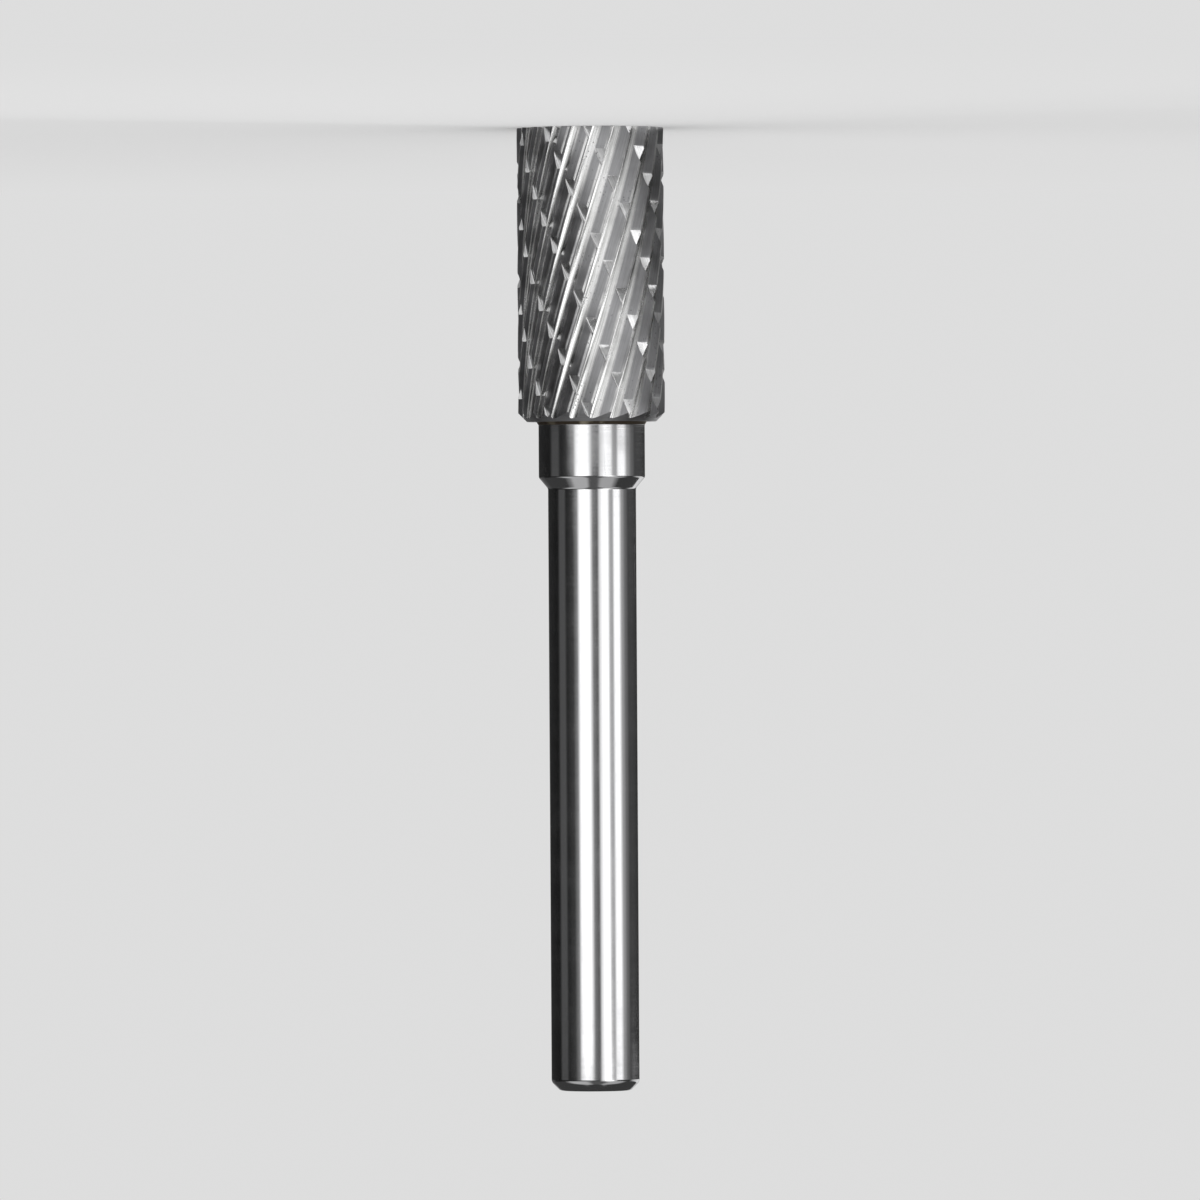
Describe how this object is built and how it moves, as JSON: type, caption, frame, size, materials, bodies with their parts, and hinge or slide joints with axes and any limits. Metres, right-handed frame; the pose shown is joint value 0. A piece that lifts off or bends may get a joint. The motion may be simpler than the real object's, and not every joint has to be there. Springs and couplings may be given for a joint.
{
  "type": "carbide burr",
  "caption": "Cylindrical double-cut rotary burr with a plain end, brazed to a round steel shank with a short collar; for deburring and shaping metal in a die grinder.",
  "frame": {"origin": "centre of the flat end face of the cutting head, on the surface that the burr stands on", "axes": "+Z along the tool's axis, from the head's end face towards the free end of the shank; X and Y are across the axis"},
  "size_m": [0.01, 0.01, 0.0655],
  "materials": {
    "tungsten_carbide": "diamond-ground, semi-bright dark grey",
    "polished_steel": "centreless-ground and polished",
    "silver_braze": "dull silver braze"
  },
  "bodies": {
    "root": {"carbide_head": "tungsten_carbide", "shank": "polished_steel", "braze_joint": "silver_braze"}
  },
  "joints": []
}
